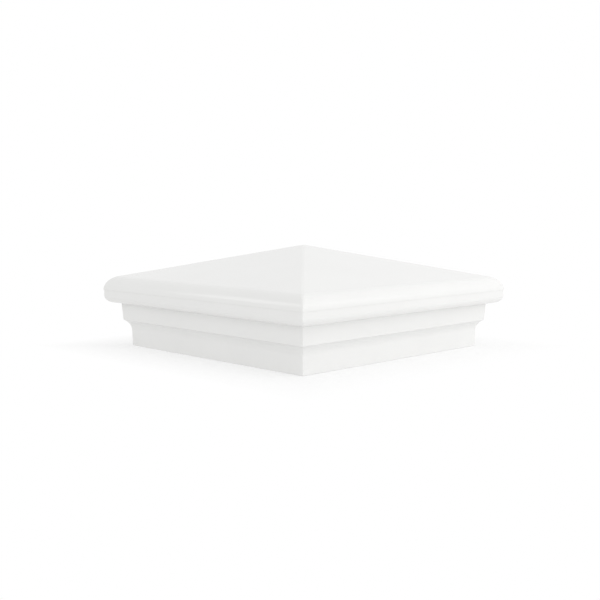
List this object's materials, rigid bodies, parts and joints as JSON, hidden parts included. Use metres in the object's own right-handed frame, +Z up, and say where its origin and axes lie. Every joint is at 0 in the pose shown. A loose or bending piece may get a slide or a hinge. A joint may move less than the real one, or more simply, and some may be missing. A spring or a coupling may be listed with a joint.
{
  "type": "fence post cap",
  "caption": "Square hollow fence post cap: low pyramid roof, rounded overhanging rim with a seam, stepped cove moulding and an open socket that drops over a square post.",
  "frame": {"origin": "middle of the apron's bottom edge, which is the plane of the socket's mouth", "axes": "+Z up along the post, +X and +Y square to two of the cap's sides"},
  "size_m": [0.157, 0.157, 0.0561],
  "materials": {
    "white_vinyl": "satin",
    "zinc_steel": "zinc plated"
  },
  "bodies": {
    "root": {"crown": "white_vinyl", "skirt": "white_vinyl", "corner_screws": "zinc_steel"}
  },
  "joints": []
}
